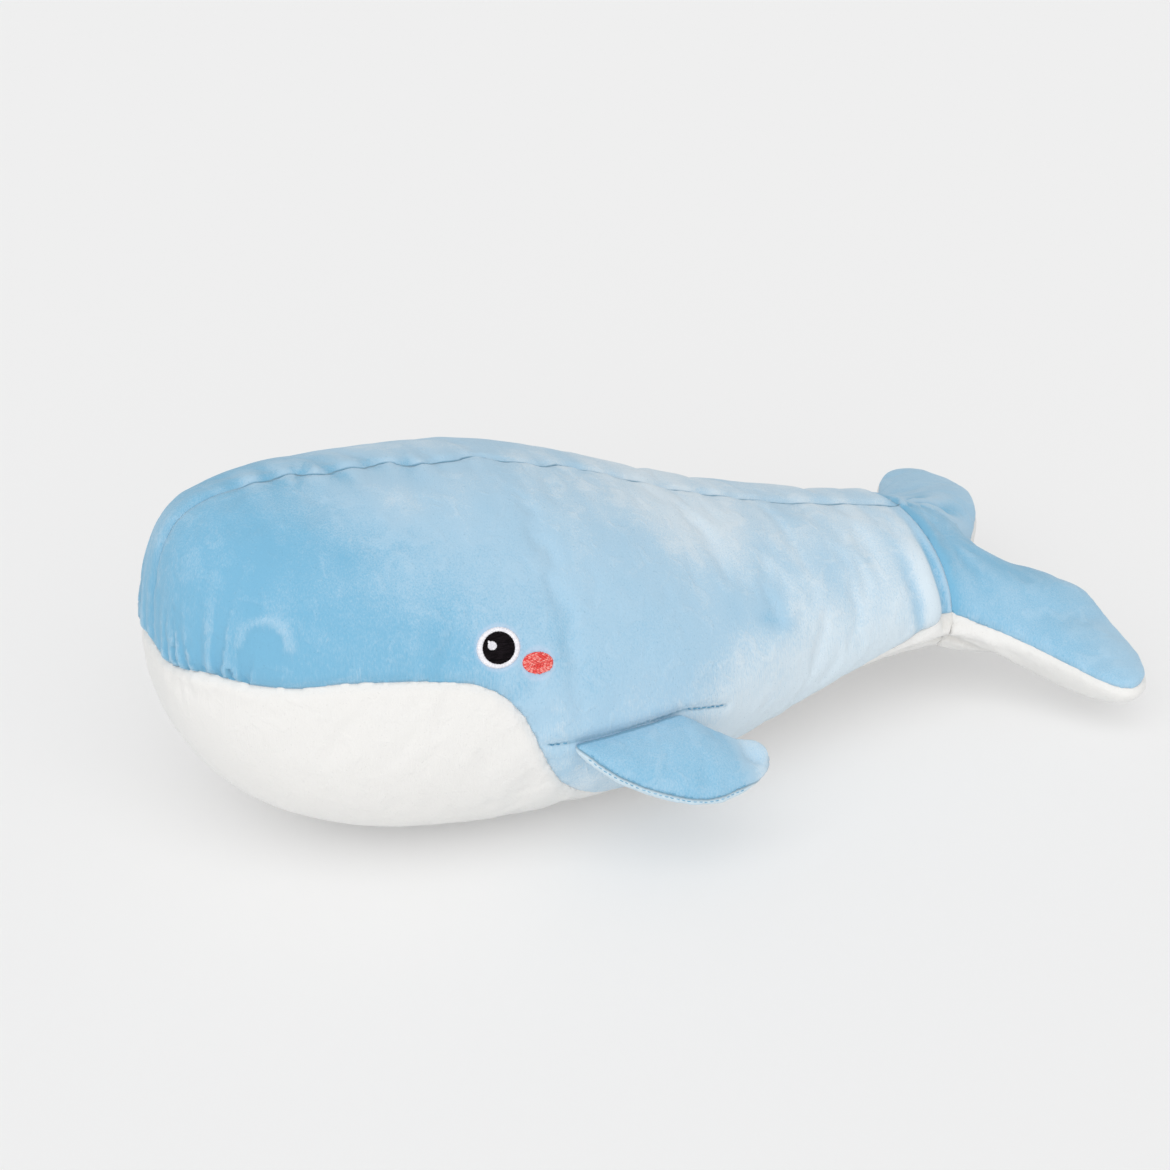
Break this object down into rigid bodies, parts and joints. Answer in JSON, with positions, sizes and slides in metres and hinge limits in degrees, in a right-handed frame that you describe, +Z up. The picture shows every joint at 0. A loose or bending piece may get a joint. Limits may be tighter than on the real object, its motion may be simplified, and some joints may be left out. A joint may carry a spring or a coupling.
{
  "type": "plush whale",
  "caption": "Plush whale that lies on its belly: stuffed blue body, white belly, embroidered eyes and cheeks, soft flippers and a forked tail.",
  "frame": {"origin": "on the surface the whale lies on, under the centre of its bounding box", "axes": "+X from the nose to the tail, +Y to the whale's right side, +Z up"},
  "size_m": [0.5698, 0.3226, 0.2075],
  "materials": {
    "blue_plush": "short-pile plush, matt with a soft sheen",
    "pale_blue_plush": "short-pile plush, matt with a soft sheen",
    "white_plush": "short-pile plush, matt with a soft sheen",
    "fibre_filling": "loose polyester fibre",
    "white_thread": "satin-stitched embroidery thread",
    "black_thread": "satin-stitched embroidery thread",
    "coral_thread": "satin-stitched embroidery thread"
  },
  "bodies": {
    "body": {"body_filling": "fibre_filling", "side_panel_left": "blue_plush", "side_panel_right": "blue_plush", "belly_panel": "white_plush", "eye_ring_left": "white_thread", "eye_ring_right": "white_thread", "eye_pupil_left": "black_thread", "eye_pupil_right": "black_thread", "eye_glint_left": "white_thread", "eye_glint_right": "white_thread", "cheek_left": "coral_thread", "cheek_right": "coral_thread"},
    "tail": {"tail_filling": "fibre_filling", "tail_upper_panel": "blue_plush", "tail_lower_panel": "white_plush"},
    "flipper_left": {"flipper_filling_left": "fibre_filling", "flipper_upper_left": "blue_plush", "flipper_lower_left": "pale_blue_plush"},
    "flipper_right": {"flipper_filling_right": "fibre_filling", "flipper_upper_right": "blue_plush", "flipper_lower_right": "pale_blue_plush"}
  },
  "joints": [
    {"name": "tail_bend", "type": "hinge", "parent": "body", "child": "tail", "pos_m": [0.179, 0, 0.06508], "axis": [0, -1, 0], "range_deg": [-24, 24], "stiffness_Nm_per_rad": 1.5, "deforming": ["side_panel_left", "side_panel_right", "belly_panel", "tail_upper_panel", "tail_lower_panel"]},
    {"name": "flipper_left_swing", "type": "hinge", "parent": "body", "child": "flipper_left", "pos_m": [-0.09638, -0.12942, 0.07878], "axis": [-0.9956, -0.0939, 0], "range_deg": [-20, 50], "stiffness_Nm_per_rad": 0.1},
    {"name": "flipper_right_swing", "type": "hinge", "parent": "body", "child": "flipper_right", "pos_m": [-0.09638, 0.12942, 0.07878], "axis": [0.9956, -0.0939, 0], "range_deg": [-20, 50], "stiffness_Nm_per_rad": 0.1}
  ]
}
